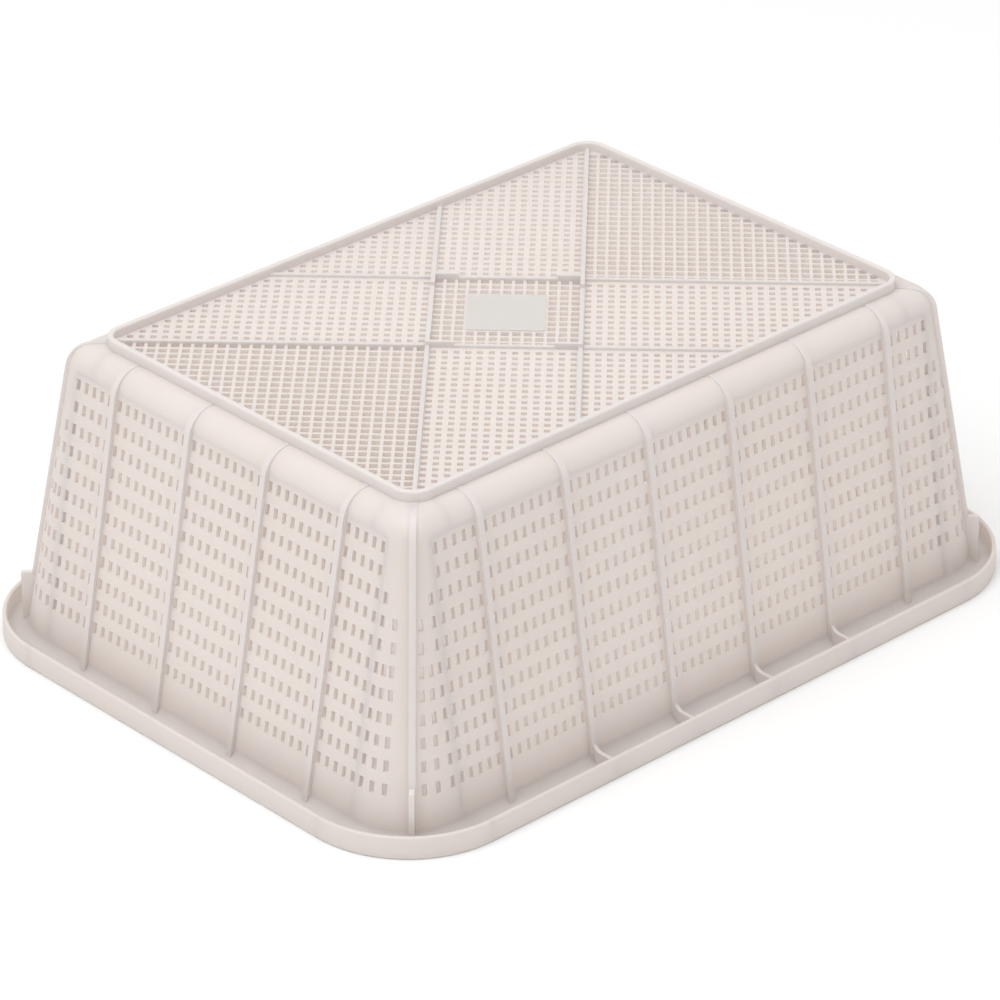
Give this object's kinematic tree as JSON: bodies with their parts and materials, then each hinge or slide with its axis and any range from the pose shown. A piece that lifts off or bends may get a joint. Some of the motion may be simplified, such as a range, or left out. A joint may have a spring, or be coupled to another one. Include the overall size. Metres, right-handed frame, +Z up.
{
  "type": "cheese mold",
  "caption": "Rectangular perforated plastic cheese mold shown base up: tapered ribbed walls, rim with gutter and skirt, and a slotted base inside a stacking ridge.",
  "frame": {"origin": "middle of the floor plane under the mouth rim, with the mold standing on its mouth", "axes": "+X along the long side, +Y along the short side, +Z up from the mouth to the base"},
  "size_m": [0.4, 0.2976, 0.1474],
  "materials": {
    "mold_plastic": "satin moulded ivory polypropylene",
    "plaque_plastic": "smooth moulded ivory polypropylene"
  },
  "bodies": {
    "root": {"base_cross_ribs_left": "mold_plastic", "base_cross_ribs_right": "mold_plastic", "base_grid_back_left": "mold_plastic", "base_grid_back_right": "mold_plastic", "base_grid_end_left": "mold_plastic", "base_grid_end_right": "mold_plastic", "base_grid_front_left": "mold_plastic", "base_grid_front_right": "mold_plastic", "base_grid_middle": "mold_plastic", "base_grid_side_back": "mold_plastic", "base_grid_side_front": "mold_plastic", "base_long_rib_back": "mold_plastic", "base_long_rib_front": "mold_plastic", "base_ridge": "mold_plastic", "corner_back_left": "mold_plastic", "corner_back_right": "mold_plastic", "corner_fin_back_left": "mold_plastic", "corner_fin_back_right": "mold_plastic", "corner_fin_front_left": "mold_plastic", "corner_fin_front_right": "mold_plastic", "corner_front_left": "mold_plastic", "corner_front_right": "mold_plastic", "corner_rib_back_left": "mold_plastic", "corner_rib_back_right": "mold_plastic", "corner_rib_front_left": "mold_plastic", "corner_rib_front_right": "mold_plastic", "plaque": "plaque_plastic", "ribs_back": "mold_plastic", "ribs_front": "mold_plastic", "ribs_left": "mold_plastic", "ribs_right": "mold_plastic", "rim_back": "mold_plastic", "rim_corner_back_left": "mold_plastic", "rim_corner_back_right": "mold_plastic", "rim_corner_front_left": "mold_plastic", "rim_corner_front_right": "mold_plastic", "rim_fins_back": "mold_plastic", "rim_fins_front": "mold_plastic", "rim_front": "mold_plastic", "rim_left": "mold_plastic", "rim_right": "mold_plastic", "shoulder_back": "mold_plastic", "shoulder_front": "mold_plastic", "shoulder_left": "mold_plastic", "shoulder_right": "mold_plastic", "stack_bracket_back": "mold_plastic", "stack_bracket_front": "mold_plastic", "stack_bracket_left": "mold_plastic", "stack_bracket_right": "mold_plastic", "wall_back": "mold_plastic", "wall_front": "mold_plastic", "wall_left": "mold_plastic", "wall_right": "mold_plastic"}
  },
  "joints": []
}
